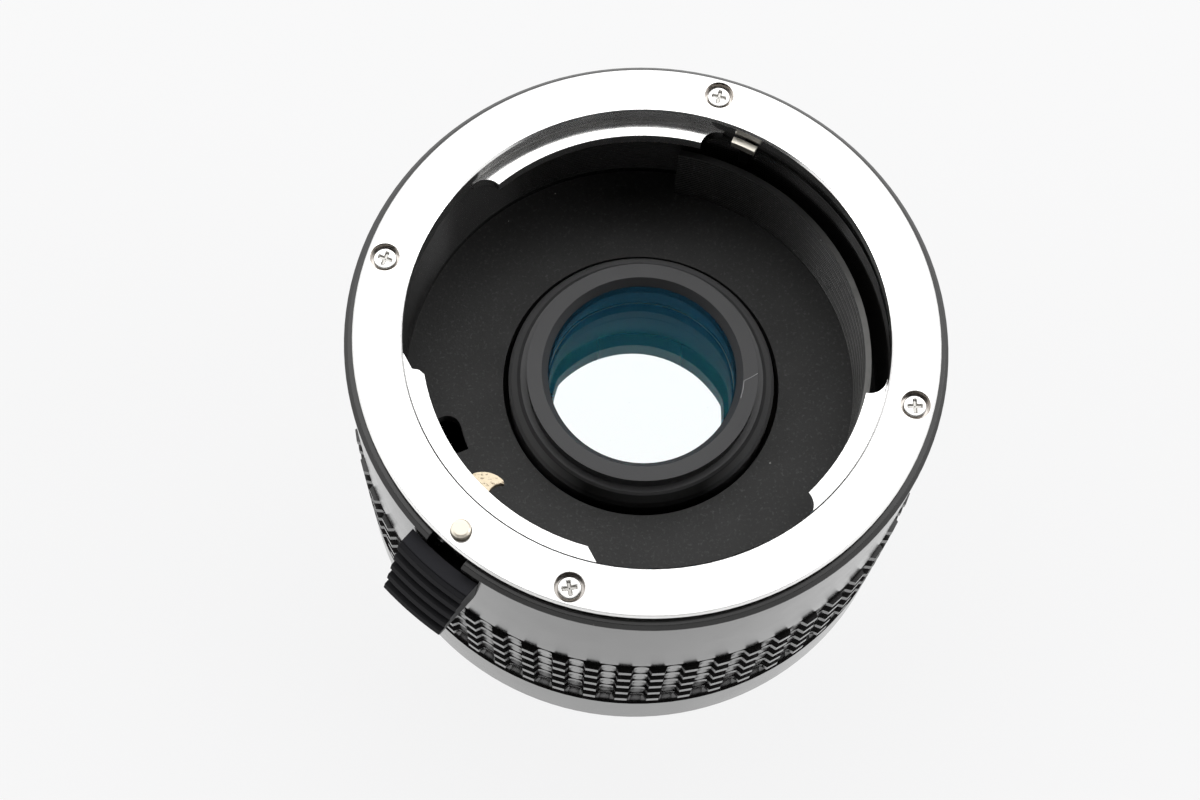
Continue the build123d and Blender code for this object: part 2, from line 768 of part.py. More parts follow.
def barrel_screws():
    length = barrel_flange_t + overrun - seat_gap
    seat = bulkhead_top + barrel_flange_t
    return [plain_screw(seat, barrel_screw_r, angle, length) for angle in barrel_screw_angles]


def front_retaining_ring():
    """Flat cap ring that holds the glass down, with its threaded spigot."""
    lip_bottom = glass_top + seat_gap
    spigot_in = glass_r + seat_gap
    spigot_bottom = cap_bottom - cap_spigot_h + seat_gap
    return turned(
        (glass_hole_r, lip_bottom),
        (cap_r - cap_rim_width, rim_top),
        (cap_r, rim_top),
        (cap_r, cap_bottom),
        (spigot_in + cap_spigot_t, cap_bottom),
        (spigot_in + cap_spigot_t, spigot_bottom),
        (spigot_in, spigot_bottom),
        (spigot_in, lip_bottom),
    )


def stack_heights():
    """Heights of the faces between glass and spacers, from the front down."""
    heights = [glass_top]
    for share in stack_shares:
        heights.append(heights[-1] - share / sum(stack_shares) * (glass_top - rear_glass_h))
    return heights


def element(top, bottom, clear_r, top_bulge=0.0, bottom_bulge=0.0):
    """Glass element, each face bulging out by so much at its middle, or hollow if that is negative."""
    lines = []
    if top_bulge:
        lines.append(glass_curve(clear_r, top, top_bulge))
        lines.append(Line((clear_r, top), (glass_r, top)))
    else:
        lines.append(Line((0, top), (glass_r, top)))
    lines.append(Line((glass_r, top), (glass_r, bottom)))
    if bottom_bulge:
        lines.append(Line((glass_r, bottom), (clear_r, bottom)))
        lines.append(glass_curve(clear_r, bottom, -bottom_bulge))
    else:
        lines.append(Line((glass_r, bottom), (0, bottom)))
    lines.append(Line((0, bottom - bottom_bulge), (0, top + top_bulge)))
    return revolve(Plane.XZ * make_face(lines), Axis.Z)


def glass_curve(clear_r, z, rise):
    """Half outline of a curved glass face, from the axis to its clear radius."""
    curve_r = (clear_r * clear_r + rise * rise) / (2 * rise)
    half_r = clear_r / 2
    half_rise = rise - curve_r + (1 if rise > 0 else -1) * sqrt(curve_r * curve_r - half_r * half_r)
    return ThreePointArc((0, z + rise), (half_r, z + half_rise), (clear_r, z))


def bulge(curve_r, clear_r):
    """Height of a curved face over its edge."""
    return curve_r - sqrt(curve_r * curve_r - clear_r * clear_r)


def lens_stack():
    """Glass and spacers, from the front to the rear."""
    faces = stack_heights()
    front = bulge(front_curve_r, glass_hole_r)
    inner = bulge(inner_curve_r, spacer_r)
    save("element_1", element(faces[0], faces[1], glass_hole_r, front))
    save("spacer_1", tube(spacer_r, glass_r, faces[2], faces[1]))
    save("element_2", element(faces[2], faces[3], spacer_r, -inner))
    save("element_3", element(faces[3], faces[4], spacer_r, 0.0, inner))
    save("spacer_2", tube(spacer_r, glass_r, faces[5], faces[4]))
    save("element_4", element(faces[5], faces[6], spacer_r, -inner))


def rear_retaining_ring():
    return tube(glass_r - rear_opening_lip, glass_r, barrel_bottom, rear_glass_h)


# Rear casing
def spring_post(circle_r, angle, top):
    """Post on the bulkhead for a return spring."""
    return hidden_rod(post_r, bulkhead_top - overrun / 2, top, circle_r, angle)


def rear_housing():
    seat_r = rear_neck_r + seat_gap
    ledge = coupling_bottom - run_gap
    body = turned(
        (rear_r, rear_band_bottom),
        (rear_r, rear_band_top),
        (sleeve_r, rear_band_top),
        (sleeve_r, parting),
        (bore_r, parting),
        (bore_r, ledge),
        (ledge_r, ledge),
        (ledge_r, bulkhead_top),
        (barrel_rear_r + seat_gap, bulkhead_top),
        (barrel_rear_r + seat_gap, bulkhead_bottom),
        (seat_r, bulkhead_bottom),
        (seat_r, ring_seat_h),
        (rear_ring_r + seat_gap, ring_seat_h),
        (rear_ring_r + seat_gap, rear_band_bottom),
    )
    heights = (bulkhead_bottom - overrun, bulkhead_top + overrun)
    lever_arc = (rear_lever[0] - diaphragm_travel, rear_lever[1])
    body -= arc_slot(rear_lever_r - free_gap, rear_lever_outer_r + free_gap, *heights, *lever_arc)
    tab_arc = (rear_tab[0] - coupling_travel, rear_tab[1])
    body -= arc_slot(rear_tab_r - free_gap, rear_tab_outer_r + free_gap, *heights, *tab_arc)
    body += spring_post(coupling_spring_r, coupling_post_angle, coupling_top)
    body += spring_post(diaphragm_spring_r, diaphragm_post_angle, diaphragm_ring_top)
    hole_r = hidden_shank_r + seat_gap
    for angle in housing_screw_angles:
        body -= hidden_rod(hole_r, parting - shank_length, parting + overrun, mount_screw_r, angle)
    for angle in barrel_screw_angles:
        body -= hidden_rod(hole_r, bulkhead_top - overrun, bulkhead_top + overrun, barrel_screw_r, angle)
    for angle in guard_screw_angles:
        body -= hidden_rod(hole_r, bulkhead_bottom - overrun, bulkhead_bottom + overrun, guard_screw_r, angle)
    for angle in rear_screw_angles:
        hole = (shank_r + seat_gap, ring_seat_h - overrun, ring_seat_h + shank_length)
        body -= hidden_rod(*hole, rear_screw_r, angle)
    return body


# Rear mount
def rear_bayonet():
    lug_outer_r = plug_r - run_gap
    ring = turned(
        (rear_neck_in_r, ring_seat_h),
        (rear_neck_in_r, -rear_neck_length),
        (rear_neck_r, -rear_neck_length),
        (rear_neck_r, -rear_plug_length),
        (plug_r, -rear_plug_length),
        (plug_r, 0.0),
        (rear_ring_r - edge_bevel, 0.0),
        (rear_ring_r, edge_bevel),
        (rear_ring_r, ring_seat_h),
    )
    root_r = rear_neck_r - rear_neck_t / 2
    for start, end in rear_lugs:
        ring += sector(root_r, lug_outer_r, -rear_neck_length, rear_lug_t - rear_neck_length, start, end)
    for angle in rear_screw_angles:
        ring -= hidden_rod(counterbore_r, -overrun, head_t + seat_gap, rear_screw_r, angle, head_sides)
        ring -= hidden_rod(shank_r + seat_gap, 0.0, ring_seat_h + overrun, rear_screw_r, angle)
    return ring - rod(pin_r + run_gap, -overrun, ring_seat_h - edge_bevel, pin_circle_r, lock_angle)


def rear_mount_screws():
    turned_over = [mount_screw(-seat_gap, rear_screw_r, -angle) for angle in rear_screw_angles]
    return [Rot(180, 0, 0) * screw for screw in turned_over]


def rear_guard():
    """Guard with the wall round the rear glass, open where the diaphragm lever swings."""
    top = guard_plate_bottom + guard_plate_t
    guard = tube(barrel_rear_r + seat_gap, guard_r, guard_plate_bottom, top)
    end = guard_wall_start + guard_wall_angle
    guard += sector(guard_r, guard_outer_r, -guard_depth, top, guard_wall_start, end)
    for angle in guard_screw_angles:
        guard += hidden_rod(boss_r, guard_plate_bottom, bulkhead_bottom, guard_screw_r, angle)
    for angle in guard_screw_angles:
        hole = (hidden_shank_r + seat_gap, guard_plate_bottom - overrun, bulkhead_bottom + overrun)
        guard -= hidden_rod(*hole, guard_screw_r, angle)
    return guard


def guard_screws():
    length = bulkhead_bottom + overrun - seat_gap - guard_plate_bottom
    return [plain_screw(guard_plate_bottom, guard_screw_r, angle, length, -1) for angle in guard_screw_angles]


def build():
    save("front_bayonet", front_bayonet())
    save("front_mount_screws", *front_mount_screws())
    save("leaf_springs", *[leaf_spring(*lug) for lug in front_lugs])
    save("spring_rivets", *[spring_rivet(*lug) for lug in front_lugs])
    save("front_housing", front_housing())
    save("index_bead", index_bead())
    save("housing_screws", *housing_screws())
    save("grip_ring", grip_ring())
    save("release_button", release_button())
    save("lock_plate", lock_plate())
    save("lock_pin", lock_pin())
    save("button_screws", button_screw(-1), button_screw(1))
    save("lock_spring", lock_spring())
    save("baffle_plate", baffle_plate())
    save("coupling_ring", coupling_ring())
    save("coupling_spring", coupling_spring())
    save("diaphragm_ring", diaphragm_ring())
    save("diaphragm_spring", diaphragm_spring())
    save("diaphragm_clip", diaphragm_clip())
    save("lens_barrel", lens_barrel())
    save("barrel_screws", *barrel_screws())
    save("front_retaining_ring", front_retaining_ring())
    lens_stack()
    save("rear_retaining_ring", rear_retaining_ring())
    save("rear_housing", rear_housing())
    save("rear_bayonet", rear_bayonet())
    save("rear_mount_screws", *rear_mount_screws())
    save("rear_guard", rear_guard())
    save("guard_screws", *guard_screws())


build()
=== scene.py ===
import math

import bmesh
import bpy
from mathutils import Matrix, Vector


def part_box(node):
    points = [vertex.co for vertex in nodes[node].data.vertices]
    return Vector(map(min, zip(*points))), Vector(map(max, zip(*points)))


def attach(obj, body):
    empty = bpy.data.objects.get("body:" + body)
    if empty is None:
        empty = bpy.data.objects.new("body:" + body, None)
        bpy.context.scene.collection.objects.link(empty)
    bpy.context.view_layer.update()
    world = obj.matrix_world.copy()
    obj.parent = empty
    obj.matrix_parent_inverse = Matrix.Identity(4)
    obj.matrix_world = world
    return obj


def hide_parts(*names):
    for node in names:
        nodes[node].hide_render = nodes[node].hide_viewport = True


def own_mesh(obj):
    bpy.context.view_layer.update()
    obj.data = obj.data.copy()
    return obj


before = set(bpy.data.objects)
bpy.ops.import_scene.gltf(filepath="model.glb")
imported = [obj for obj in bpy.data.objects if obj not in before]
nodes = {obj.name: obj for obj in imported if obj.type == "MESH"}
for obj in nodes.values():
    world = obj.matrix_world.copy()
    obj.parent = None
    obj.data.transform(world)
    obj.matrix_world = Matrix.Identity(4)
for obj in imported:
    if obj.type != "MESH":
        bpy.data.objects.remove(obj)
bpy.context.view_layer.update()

MM = 0.001
GLASS_IOR = 1.8
SCREW_ANGLE = 73.3

# In millimetres
FLOOR_Z = -6.5
FLOOR_GAP = 0.1
FRONT_FACE_Z = 41.0
SCREW_CIRCLE_R = 27.0
SCREW_MASK_R = 1.485
SCREW_MASK_Z = 39.6
SLOPE_MASK_R = 12.86
THREAD_PITCH = 0.42
GLASS_R = 10.4


# Node helpers
def new_material(name):
    """An empty node material, its tree and its output node."""
    mat = bpy.data.materials.new(name)
    mat.use_nodes = True
    tree = mat.node_tree
    tree.nodes.clear()
    out = tree.nodes.new("ShaderNodeOutputMaterial")
    return mat, tree, out


def add(tree, kind, **settings):
    """A node with its settings, and its unlinked inputs by name."""
    node = tree.nodes.new(kind)
    inputs = settings.pop("inputs", {})
    for key, value in settings.items():
        setattr(node, key, value)
    for key, value in inputs.items():
        node.inputs[key].default_value = value
    return node


def join(tree, a, a_out, b, b_in):
    tree.links.new(a.outputs[a_out], b.inputs[b_in])


def feed(tree, source, node, socket):
    """Links a (node, output) pair to an input of a node."""
    tree.links.new(source[0].outputs[source[1]], node.inputs[socket])


def math_node(tree, operation, first, second=None):
    """A maths node; each input is a number or a (node, output) pair."""
    node = add(tree, "ShaderNodeMath", operation=operation)
    for i, value in enumerate((first, second)):
        if value is None:
            continue
        if isinstance(value, tuple):
            feed(tree, value, node, i)
        else:
            node.inputs[i].default_value = value
    return (node, 0)


def remap(tree, source, low, high, to_low, to_high):
    node = add(tree, "ShaderNodeMapRange", inputs={1: low, 2: high, 3: to_low, 4: to_high})
    feed(tree, source, node, 0)
    return (node, 0)


def finish_material(mat, tree, out, shader):
    tree.links.new(shader.outputs[0], out.inputs["Surface"])
    return mat


def mix_color(tree, factor, first, second):
    """Colour between two, by a (node, output) factor; first may be a pair or a colour."""
    node = add(tree, "ShaderNodeMix", data_type="RGBA")
    feed(tree, factor, node, 0)
    if isinstance(first[0], bpy.types.Node):
        feed(tree, first, node, 6)
    else:
        node.inputs[6].default_value = (*first, 1)
    node.inputs[7].default_value = (*second, 1)
    return (node, 2)


def specks(tree, where, scale, size, share):
    """One on small scattered specks, nought elsewhere."""
    cells = add(tree, "ShaderNodeTexVoronoi", inputs={"Scale": scale})
    join(tree, where, "Object", cells, "Vector")
    near = math_node(tree, "LESS_THAN", (cells, "Distance"), size)
    pick = add(tree, "ShaderNodeSeparateColor")
    join(tree, cells, "Color", pick, 0)
    chosen = math_node(tree, "LESS_THAN", (pick, 0), share)
    return math_node(tree, "MULTIPLY", near, chosen)


def surface(name, color, metallic, rough, rough_spread=0.05, grain=0.0, grain_scale=2500.0, specular=0.5,
            ior=1.5, color_spread=0.12, worn=None, dust=None, edge=0.05):
    """A slightly uneven finish: colour, roughness and bump vary with fine noise, and edges are rounded.

    worn is (colour, noise scale, low, high), and dust is (colour, scale, size, share of the cells).
    """
    mat, tree, out = new_material(name)
    where = add(tree, "ShaderNodeTexCoord")
    shader = add(tree, "ShaderNodeBsdfPrincipled")
    shader.inputs["Metallic"].default_value = metallic
    shader.inputs["Specular IOR Level"].default_value = specular
    shader.inputs["IOR"].default_value = ior
    broad = add(tree, "ShaderNodeTexNoise", inputs={"Scale": 260.0, "Detail": 4.0, "Roughness": 0.6})
    fine = add(tree, "ShaderNodeTexNoise", inputs={"Scale": grain_scale, "Detail": 2.0})
    join(tree, where, "Object", broad, "Vector")
    join(tree, where, "Object", fine, "Vector")
    dark = tuple(c * (1 - color_spread) for c in color)
    light = tuple(min(1, c * (1 + color_spread)) for c in color)
    last = mix_color(tree, (broad, 0), dark, light)
    if worn:
        spots = add(tree, "ShaderNodeTexNoise", inputs={"Scale": worn[1], "Detail": 8.0, "Roughness": 0.75})
        join(tree, where, "Object", spots, "Vector")
        last = mix_color(tree, remap(tree, (spots, 0), worn[2], worn[3], 0.0, 1.0), last, worn[0])
    if dust:
        last = mix_color(tree, specks(tree, where, *dust[1:]), last, dust[0])
    feed(tree, last, shader, "Base Color")
    level = remap(tree, (broad, 0), 0.25, 0.75, max(0.02, rough - rough_spread), min(1, rough + rough_spread))
    feed(tree, level, shader, "Roughness")
    rounded = add(tree, "ShaderNodeBevel", samples=4, inputs={"Radius": edge * MM})
    bump = add(tree, "ShaderNodeBump", inputs={"Strength": grain, "Distance": 0.00003})
    join(tree, rounded, 0, bump, "Normal")
    join(tree, fine, 0, bump, "Height")
    join(tree, bump, 0, shader, "Normal")
    return finish_material(mat, tree, out, shader)


def place_parts(tree, where):
    """The x, y and z of a point on the object."""
    parts = add(tree, "ShaderNodeSeparateXYZ")
    join(tree, where, "Object", parts, 0)
    return parts


def radius_of(tree, where):
    """Distance from the axis and height, both in metres."""
    parts = place_parts(tree, where)
    xx = math_node(tree, "MULTIPLY", (parts, 0), (parts, 0))
    yy = math_node(tree, "MULTIPLY", (parts, 1), (parts, 1))
    return math_node(tree, "SQRT", math_node(tree, "ADD", xx, yy)), (parts, 2)


def parts_of(mat):
    """A finish's tree, shader and coordinates."""
    tree = mat.node_tree
    shader = next(n for n in tree.nodes if n.type == "BSDF_PRINCIPLED")
    where = next(n for n in tree.nodes if n.type == "TEX_COORD")
    return tree, shader, where


def between(tree, value, low, high):
    """One where a length lies between two limits in millimetres."""
    over = math_node(tree, "GREATER_THAN", value, low * MM)
    return math_node(tree, "MULTIPLY", over, math_node(tree, "LESS_THAN", value, high * MM))


def add_threads(mat, radii, heights, depth, rough=None):
    """Fine anti-glare threads on the part of a finish between two radii and two heights."""
    tree, shader, where = parts_of(mat)
    r, z = radius_of(tree, where)
    within = math_node(tree, "MULTIPLY", between(tree, r, *radii), between(tree, z, *heights))
    turns = math_node(tree, "MULTIPLY", z, 2 * math.pi / (THREAD_PITCH * MM))
    wave = math_node(tree, "MULTIPLY", math_node(tree, "SINE", turns), within)
    bump = add(tree, "ShaderNodeBump", inputs={"Strength": 1.0, "Distance": depth * MM})
    feed(tree, wave, bump, "Height")
    old = next(n for n in tree.nodes if n.type == "BUMP" and n != bump)
    join(tree, old, 0, bump, "Normal")
    join(tree, bump, 0, shader, "Normal")
    if rough:
        link = shader.inputs["Roughness"].links[0]
        blend = add(tree, "ShaderNodeMix", data_type="FLOAT")
        feed(tree, within, blend, 0)
        tree.links.new(link.from_socket, blend.inputs[2])
        blend.inputs[3].default_value = rough
        join(tree, blend, 0, shader, "Roughness")


def recolor_where(mat, mask_of, color):
    """Another colour where mask_of(tree, where, r, z) is one."""
    tree, shader, where = parts_of(mat)
    mask = mask_of(tree, where, *radius_of(tree, where))
    link = shader.inputs["Base Color"].links[0]
    outputs = [socket.identifier for socket in link.from_node.outputs]
    source = (link.from_node, outputs.index(link.from_socket.identifier))
    last = mix_color(tree, mask, source, color)
    feed(tree, last, shader, "Base Color")


def below(height):
    return lambda tree, where, r, z: math_node(tree, "LESS_THAN", z, height * MM)


def above(height):
    return lambda tree, where, r, z: math_node(tree, "GREATER_THAN", z, height * MM)


def inside(radius):
    return lambda tree, where, r, z: math_node(tree, "LESS_THAN", r, radius * MM)


def outside(radius):
    return lambda tree, where, r, z: math_node(tree, "GREATER_THAN", r, radius * MM)


# The next three masks set tones by place on the object, to match tones in the photograph. They paint light
# and
# shade, not the real finish: a patch of painted light, painted shade and painted highlights.
def away_from_the_lit_patch(tree, where, r, z):
    """All of the rear ring but a stretch of its bore, which keeps the pale patch seen in the glass: painted
    light.
    """
    across, along = (-3.2, 4.6), (0.0, 12.0)
    parts = place_parts(tree, where)
    pale = math_node(tree, "MULTIPLY", between(tree, (parts, 0), *across), between(tree, (parts, 1), *along))
    return math_node(tree, "SUBTRACT", 1.0, pale)


def painted_shade_on_the_slope(tree, where, r, z):
    """Painted shade on the near part of the barrel's slope, which looks black in the photograph."""
    fade_from, fade_to = 10.5, 6.0
    parts = place_parts(tree, where)
    aside = math_node(tree, "ABSOLUTE", (parts, 0), 0.0)
    middle = remap(tree, aside, fade_from * MM, fade_to * MM, 0.0, 1.0)
    near = math_node(tree, "MULTIPLY", math_node(tree, "LESS_THAN", (parts, 1), 0.0), middle)
    return math_node(tree, "MULTIPLY", near, math_node(tree, "GREATER_THAN", r, SLOPE_MASK_R * MM))


def painted_thread_highlights(tree, where, r, z):
    """Painted highlights: pale lines round the guard wall, lighter towards the third lug and wider apart than
    its threads.
    """
    radii, heights, line_pitch = (22.0, 24.9), (26.4, 38.4), 0.63
    fade_from, fade_to = 15.0, 3.0
    parts = place_parts(tree, where)
    wall = math_node(tree, "MULTIPLY", between(tree, r, *radii), between(tree, z, *heights))
    beside = remap(tree, (parts, 1), fade_from * MM, fade_to * MM, 0.0, 1.0)
    wave = math_node(tree, "SINE", math_node(tree, "MULTIPLY", z, 2 * math.pi / (line_pitch * MM)))
    sharp = remap(tree, wave, -0.2, 0.8, 0.0, 1.0)
    highlight_breaks = add(tree, "ShaderNodeTexNoise", inputs={"Scale": 420.0, "Detail": 3.0})
    join(tree, where, "Object", highlight_breaks, "Vector")
    uneven = remap(tree, (highlight_breaks, 0), 0.35, 0.65, 0.75, 1.0)
    mask = math_node(tree, "MULTIPLY", math_node(tree, "MULTIPLY", wall, beside), sharp)
    return math_node(tree, "MULTIPLY", mask, uneven)


def shade_round_the_screws(tree, where, r, z):
    """One on and close round the four screws of the front ring, for painted shade in their counterbores."""
    turned = add(tree, "ShaderNodeVectorRotate", rotation_type="Z_AXIS",
                 inputs={"Angle": -math.radians(SCREW_ANGLE)})
    join(tree, where, "Object", turned, "Vector")
    parts = add(tree, "ShaderNodeSeparateXYZ")
    join(tree, turned, 0, parts, 0)
    x = math_node(tree, "ABSOLUTE", (parts, 0))
    y = math_node(tree, "ABSOLUTE", (parts, 1))
    along = math_node(tree, "SUBTRACT", math_node(tree, "MAXIMUM", x, y), SCREW_CIRCLE_R * MM)
    across = math_node(tree, "MINIMUM", x, y)
    square = math_node(tree, "ADD", math_node(tree, "MULTIPLY", along, along),
                       math_node(tree, "MULTIPLY", across, across))
    near = math_node(tree, "LESS_THAN", square, (SCREW_MASK_R * MM) ** 2)
    return math_node(tree, "MULTIPLY", near, math_node(tree, "GREATER_THAN", z, SCREW_MASK_Z * MM))


def coated_glass(name, reflection, strength, edge, dust_share):
    """Coated glass with dust: refracts, and mirrors a coloured share that grows towards grazing."""
    mat, tree, out = new_material(name)
    clear = add(tree, "ShaderNodeBsdfRefraction", inputs={"Color": (1, 1, 1, 1), "IOR": GLASS_IOR})
    clear.inputs["Roughness"].default_value = 0.0
    shine = add(tree, "ShaderNodeBsdfGlossy", inputs={"Color": (*reflection, 1)})
    where = add(tree, "ShaderNodeTexCoord")
    smears = add(tree, "ShaderNodeTexNoise", inputs={"Scale": 300.0, "Detail": 3.0})
    join(tree, where, "Object", smears, "Vector")
    rough = remap(tree, (smears, 0), 0.3, 0.7, 0.01, 0.05)
    feed(tree, rough, shine, "Roughness")
    facing = add(tree, "ShaderNodeLayerWeight", inputs={"Blend": 0.25})
    amount = remap(tree, (facing, "Facing"), 0.0, 1.0, strength, edge)
    mix = add(tree, "ShaderNodeMixShader")
    feed(tree, amount, mix, 0)
    join(tree, clear, 0, mix, 1)
    join(tree, shine, 0, mix, 2)
    dusty = add(tree, "ShaderNodeBsdfDiffuse", inputs={"Color": (0.2, 0.55, 0.6, 1)})
    grains = specks(tree, where, 1400.0, 0.045, dust_share)
    last = add(tree, "ShaderNodeMixShader")
    feed(tree, grains, last, 0)
    join(tree, mix, 0, last, 1)
    join(tree, dusty, 0, last, 2)
    return finish_material(mat, tree, out, last)


# Finishes
chrome = surface("chrome", (0.91, 0.907, 0.90), 1.0, 0.17, 0.04, grain=0.02, grain_scale=4200.0,
                 color_spread=0.02, worn=((0.6, 0.58, 0.53), 1500.0, 0.735, 0.76), edge=0.08)
# Painted shade in the counterbores round the front ring's screws.
recolor_where(chrome, shade_round_the_screws, (0.5, 0.47, 0.44))
steel = surface("plated_steel", (0.72, 0.71, 0.69), 1.0, 0.24, 0.06, grain=0.12, color_spread=0.06)
screw_steel = surface("screw_steel", (0.82, 0.815, 0.80), 1.0, 0.22, 0.06, grain=0.15, color_spread=0.05)
# Painted shade: the screw heads darker below 40.59 mm, in their cross recesses and round their rims.
recolor_where(screw_steel, below(40.59), (0.45, 0.44, 0.42))
warm_metal = surface("worn_warm_metal", (0.80, 0.74, 0.63), 1.0, 0.38, 0.08, grain=0.4, grain_scale=6000.0,
                     worn=((0.35, 0.30, 0.22), 2600.0, 0.6, 0.7), edge=0.12)
tab_metal = surface("worn_nickel", (0.84, 0.80, 0.71), 1.0, 0.36, 0.08, grain=0.35, grain_scale=7000.0,
                    worn=((0.45, 0.40, 0.30), 2400.0, 0.62, 0.72), edge=0.1)
# Painted shade: the coupling ring nearly black below 38.55 mm, so only the tops of its tabs show.
recolor_where(tab_metal, below(38.55), (0.008, 0.007, 0.006))
bronze = surface("spring_bronze", (0.6, 0.42, 0.24), 1.0, 0.35, 0.08, grain=0.2)
brass = surface("worn_nickel_brass", (0.74, 0.64, 0.48), 1.0, 0.45, 0.1, grain=0.5, grain_scale=5000.0,
                worn=((0.10, 0.06, 0.03), 2200.0, 0.54, 0.62), edge=0.12)
# Painted shade: the diaphragm ring nearly black below 33.5 mm, deep inside the mount.
recolor_where(brass, below(33.5), (0.008, 0.007, 0.006))
enamel = surface("gloss_black_enamel", (0.012, 0.0115, 0.011), 0.0, 0.17, 0.03, grain=0.03,
                 grain_scale=1800.0, ior=1.55, dust=((0.25, 0.22, 0.2), 700.0, 0.03, 0.25), edge=0.1)
add_threads(enamel, (20.0, 24.7), (27.0, 39.0), 0.07)
red = surface("red_enamel", (0.55, 0.02, 0.02), 0.0, 0.25, 0.05, grain=0.05)
grip_black = surface("grip_black", (0.012, 0.0115, 0.011), 0.0, 0.2, 0.05, grain=0.05, grain_scale=2200.0,
                     ior=1.6, edge=0.02)
plastic = surface("satin_black_plastic", (0.0125, 0.0125, 0.0145), 0.0, 0.48, 0.06, grain=0.2,
                  grain_scale=3000.0, specular=0.12, dust=((0.2, 0.2, 0.2), 900.0, 0.03, 0.3), edge=0.12)
matt = surface("matt_black", (0.036, 0.036, 0.0355), 0.0, 0.6, 0.06, grain=0.5, grain_scale=3800.0,
               specular=0.4, worn=((0.11, 0.11, 0.11), 2600.0, 0.54, 0.72),
               dust=((0.55, 0.55, 0.52), 330.0, 0.026, 0.5))
add_threads(matt, (22.05, 22.9), (26.4, 35.2), 0.09, rough=0.2)
# Painted shade: matt parts above 35.3 mm, the top of the guard wall, made nearly black.
recolor_where(matt, above(35.3), (0.004, 0.004, 0.004))
# Painted highlights on the guard wall's threads.
recolor_where(matt, painted_thread_highlights, (0.26, 0.258, 0.25))
anodised = surface("black_anodised", (0.055, 0.055, 0.057), 0.0, 0.5, 0.04, grain=0.12, grain_scale=3600.0,
                   color_spread=0.06, edge=0.06)
barrel_black = surface("barrel_anodised", (0.075, 0.075, 0.077), 0.0, 0.42, 0.04, grain=0.12,
                       grain_scale=3600.0, color_spread=0.06, edge=0.06)
recolor_where(barrel_black, inside(10.6), (0.005, 0.005, 0.005))
# Painted light: the barrel's slope, outside 12.95 mm, made paler all round.
recolor_where(barrel_black, outside(12.95), (0.15, 0.15, 0.152))
# Painted shade: the near part of the barrel's slope made black.
recolor_where(barrel_black, painted_shade_on_the_slope, (0.003, 0.003, 0.003))
cell_black = surface("cell_black", (0.006, 0.006, 0.006), 0.0, 0.75, 0.05, grain=0.3, specular=0.15,
                     edge=0.03)
lit_patch_cell = surface("lit_patch_cell", (0.85, 0.85, 0.8), 0.0, 0.5, 0.05, grain=0.2, specular=0.08, edge=0.03)
# Painted light: the rear ring is black but for a pale patch of painted light in its bore.
recolor_where(lit_patch_cell, away_from_the_lit_patch, (0.001, 0.001, 0.001))
front_glass = coated_glass("coated_front_glass", (0.08, 0.45, 0.74), 0.0125, 0.16, 0.4)
inner_glass = coated_glass("coated_inner_glass", (0.1, 0.8, 0.4), 0.0012, 0.05, 0.02)

button_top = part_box("release_button")[1][2]
# Painted light: the release button's top face paler than its sides.
recolor_where(plastic, above(button_top / MM - 0.06), (0.03, 0.03, 0.035))

finishes = {
    "front_bayonet": chrome, "rear_bayonet": chrome,
    "front_mount_screws": screw_steel, "rear_mount_screws": steel,
    "leaf_springs": bronze, "spring_rivets": steel,
    "front_housing": enamel, "rear_housing": enamel, "housing_screws": steel, "index_bead": red,
    "grip_ring": grip_black, "rear_guard": matt, "guard_screws": steel,
    "release_button": plastic, "button_screws": steel,
    "lock_plate": cell_black, "lock_pin": warm_metal, "lock_spring": steel,
    "baffle_plate": matt, "coupling_ring": tab_metal, "coupling_spring": steel,
    "diaphragm_ring": brass, "diaphragm_spring": steel, "diaphragm_clip": cell_black,
    "lens_barrel": barrel_black, "barrel_screws": steel, "front_retaining_ring": anodised,
    "element_1": front_glass, "element_2": inner_glass, "element_3": inner_glass, "element_4": inner_glass,
    "spacer_1": cell_black, "spacer_2": cell_black, "rear_retaining_ring": lit_patch_cell,
}
for name, finish in finishes.items():
    mesh = nodes[name].data
    mesh.materials.clear()
    mesh.materials.append(finish)


# Pieces finer than their CAD nodes
def piece_from(name, bm, finish, node, sharp=40.0):
    """An object from a mesh, on the body of the base, in place of a CAD node."""
    mesh = bpy.data.meshes.new(name)
    bmesh.ops.recalc_face_normals(bm, faces=bm.faces)
    bm.to_mesh(mesh)
    bm.free()
    for face in mesh.polygons:
        face.use_smooth = True
    mesh.set_sharp_from_angle(angle=math.radians(sharp))
    mesh.materials.append(finish)
    piece = bpy.data.objects.new(name, mesh)
    bpy.context.scene.collection.objects.link(piece)
    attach(piece, "base")
    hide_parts(node)
    return piece


def ring_of(bm, r, z, angles):
    return [bm.verts.new((r * MM * math.cos(a), r * MM * math.sin(a), z * MM)) for a in angles]


def bridge(bm, lower, upper):
    """Faces between two rings of as many points, or between a ring and its pole."""
    count = max(len(lower), len(upper))
    for i in range(count):
        corners = [lower[i % len(lower)], lower[(i + 1) % len(lower)],
                   upper[(i + 1) % len(upper)], upper[i % len(upper)]]
        bm.faces.new(list(dict.fromkeys(corners)))


